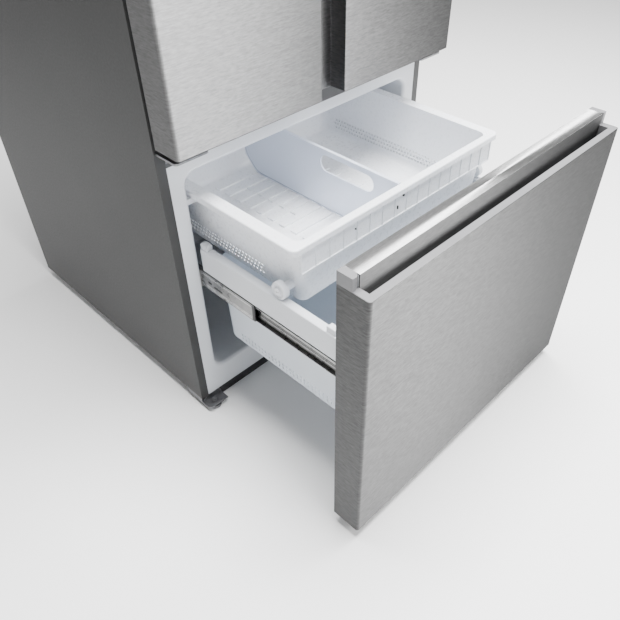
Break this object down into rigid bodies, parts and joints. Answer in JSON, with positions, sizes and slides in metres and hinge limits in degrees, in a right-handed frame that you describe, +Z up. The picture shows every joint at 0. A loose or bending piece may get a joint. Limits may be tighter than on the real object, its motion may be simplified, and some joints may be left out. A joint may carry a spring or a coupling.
{
  "type": "french door refrigerator with bottom freezer drawer",
  "caption": "Free-standing refrigerator with side-by-side upper doors and a freezer drawer drawn out below, showing its sliding basket, divider and bins.",
  "frame": {"origin": "on the floor, under the middle of the whole object's bounding box as it stands with the drawer drawn out", "axes": "+Z up, -Y out of the front where the doors and the drawer open, +X to the right hand of someone who looks at the front"},
  "size_m": [0.755, 1.261, 1.775],
  "materials": {
    "case_paint": "satin dark grey paint",
    "galvanised_sheet": "galvanised, dull",
    "cabinet_foam": "hard foam, unseen",
    "door_foam": "white skin over hard foam",
    "drawer_foam": "white skin over hard foam",
    "liner_plastic": "glossy white",
    "front_rail_paint": "satin dark grey paint",
    "toe_plastic": "matt black",
    "hinge_steel": "zinc plated",
    "slide_steel": "zinc plated",
    "grey_plastic": "matt grey",
    "white_plastic": "glossy white",
    "bin_plastic": "glossy white",
    "lamp_lens": "milky",
    "shelf_glass": "clear",
    "coil_aluminium": "bare",
    "compressor_paint": "black enamel",
    "condenser_paint": "black paint",
    "black_plastic": "matt black",
    "roller_plastic": "hard nylon",
    "stainless_front": "fine horizontal grain",
    "gasket_rubber": "soft grey",
    "divider_plastic": "clear",
    "crisper_plastic": "clear"
  },
  "bodies": {
    "cabinet": {"case_wrapper": "case_paint", "back_panel": "galvanised_sheet", "base_pan": "galvanised_sheet", "foam_body": "cabinet_foam", "fridge_liner": "liner_plastic", "freezer_liner": "liner_plastic", "mullion_rail": "front_rail_paint", "toe_strip": "toe_plastic", "leg_brackets": "hinge_steel", "top_hinges": "hinge_steel", "middle_hinges": "hinge_steel", "hinge_covers": "grey_plastic", "air_duct": "white_plastic", "fridge_lamp": "lamp_lens", "shelf_frames": "white_plastic", "glass_panes": "shelf_glass", "crisper_frame": "white_plastic", "evaporator_cover": "white_plastic", "evaporator": "coil_aluminium", "slide_wall_members": "slide_steel", "compressor": "compressor_paint", "condenser": "condenser_paint", "fan_shroud": "black_plastic", "drain_tray": "black_plastic", "machine_cover": "galvanised_sheet", "power_inlet": "black_plastic"},
    "evaporator_fan": {"evaporator_fan": "white_plastic"},
    "condenser_fan": {"condenser_fan": "black_plastic"},
    "left_rear_roller": {"left_rear_roller": "roller_plastic"},
    "right_rear_roller": {"right_rear_roller": "roller_plastic"},
    "left_leg": {"left_leg": "hinge_steel"},
    "right_leg": {"right_leg": "hinge_steel"},
    "flipper_bar": {"flipper_bar": "grey_plastic"},
    "freezer_drawer": {"drawer_skin": "stainless_front", "drawer_panel": "drawer_foam", "drawer_gasket": "gasket_rubber", "handle_lip": "stainless_front", "handle_trough": "grey_plastic", "handle_end_caps": "grey_plastic", "drawer_arms": "slide_steel", "side_rails": "white_plastic", "lower_bin": "bin_plastic"},
    "left_slide_middle": {"left_slide_middle": "slide_steel"},
    "right_slide_middle": {"right_slide_middle": "slide_steel"},
    "upper_basket": {"upper_basket": "bin_plastic"},
    "basket_divider": {"basket_divider": "divider_plastic"},
    "left_basket_wheel": {"left_basket_wheel": "white_plastic"},
    "right_basket_wheel": {"right_basket_wheel": "white_plastic"},
    "left_crisper": {"left_crisper": "crisper_plastic"},
    "right_crisper": {"right_crisper": "crisper_plastic"},
    "left_door": {"left_door_skin": "stainless_front", "left_door_caps": "grey_plastic", "left_door_liner": "door_foam", "left_door_gasket": "gasket_rubber", "left_door_bins": "crisper_plastic"},
    "right_door": {"right_door_skin": "stainless_front", "right_door_caps": "grey_plastic", "right_door_liner": "door_foam", "right_door_gasket": "gasket_rubber", "right_door_bins": "crisper_plastic"}
  },
  "joints": [
    {"name": "left_door_hinge", "type": "hinge", "parent": "cabinet", "child": "left_door", "pos_m": [-0.357, -0.1695, 1.2], "axis": [0, 0, -1], "range_deg": [0, 125]},
    {"name": "right_door_hinge", "type": "hinge", "parent": "cabinet", "child": "right_door", "pos_m": [0.357, -0.1695, 1.2], "axis": [0, 0, 1], "range_deg": [0, 125]},
    {"name": "flipper_hinge", "type": "hinge", "parent": "left_door", "child": "flipper_bar", "pos_m": [-0.03525, -0.12275, 1.2], "axis": [0, 0, -1], "range_deg": [0, 90]},
    {"name": "drawer_slide", "type": "slide", "parent": "cabinet", "child": "freezer_drawer", "axis": [0, -1, 0], "range_m": [-0.431, 0]},
    {"name": "left_slide_run", "type": "slide", "parent": "cabinet", "child": "left_slide_middle", "axis": [0, -1, 0], "range_m": [-0.2155, 0]},
    {"name": "right_slide_run", "type": "slide", "parent": "cabinet", "child": "right_slide_middle", "axis": [0, -1, 0], "range_m": [-0.2155, 0]},
    {"name": "basket_slide", "type": "slide", "parent": "cabinet", "child": "upper_basket", "axis": [0, -1, 0], "range_m": [-0.32501, 0]},
    {"name": "left_wheel_spin", "type": "hinge", "parent": "upper_basket", "child": "left_basket_wheel", "pos_m": [-0.309, -0.3615, 0.4653], "axis": [1, 0, 0], "continuous": true},
    {"name": "right_wheel_spin", "type": "hinge", "parent": "upper_basket", "child": "right_basket_wheel", "pos_m": [0.309, -0.3615, 0.4653], "axis": [1, 0, 0], "continuous": true},
    {"name": "divider_shift", "type": "slide", "parent": "upper_basket", "child": "basket_divider", "axis": [1, 0, 0], "range_m": [-0.2, 0.2]},
    {"name": "left_crisper_slide", "type": "slide", "parent": "cabinet", "child": "left_crisper", "axis": [0, -1, 0], "range_m": [0, 0.05]},
    {"name": "right_crisper_slide", "type": "slide", "parent": "cabinet", "child": "right_crisper", "axis": [0, -1, 0], "range_m": [0, 0.05]},
    {"name": "evaporator_fan_spin", "type": "hinge", "parent": "cabinet", "child": "evaporator_fan", "pos_m": [0, 0.4675, 0.552], "axis": [0, 1, 0], "continuous": true},
    {"name": "condenser_fan_spin", "type": "hinge", "parent": "cabinet", "child": "condenser_fan", "pos_m": [-0.043, 0.5155, 0.14], "axis": [1, 0, 0], "continuous": true},
    {"name": "left_roller_spin", "type": "hinge", "parent": "cabinet", "child": "left_rear_roller", "pos_m": [-0.33, 0.5755, 0.0135], "axis": [1, 0, 0], "continuous": true},
    {"name": "right_roller_spin", "type": "hinge", "parent": "cabinet", "child": "right_rear_roller", "pos_m": [0.33, 0.5755, 0.0135], "axis": [1, 0, 0], "continuous": true},
    {"name": "left_leg_turn", "type": "hinge", "parent": "cabinet", "child": "left_leg", "pos_m": [-0.352, -0.1385, 0.01], "axis": [0, 0, 1], "range_deg": [-720, 720]},
    {"name": "right_leg_turn", "type": "hinge", "parent": "cabinet", "child": "right_leg", "pos_m": [0.352, -0.1385, 0.01], "axis": [0, 0, 1], "range_deg": [-720, 720]}
  ],
  "couplings": [
    {"joint": "left_slide_run", "follows": "drawer_slide", "ratio": 0.5},
    {"joint": "right_slide_run", "follows": "drawer_slide", "ratio": 0.5},
    {"joint": "basket_slide", "follows": "drawer_slide", "ratio": 0.75406},
    {"joint": "left_wheel_spin", "follows": "drawer_slide", "rad_per_m": -13.663},
    {"joint": "right_wheel_spin", "follows": "drawer_slide", "rad_per_m": -13.663}
  ]
}
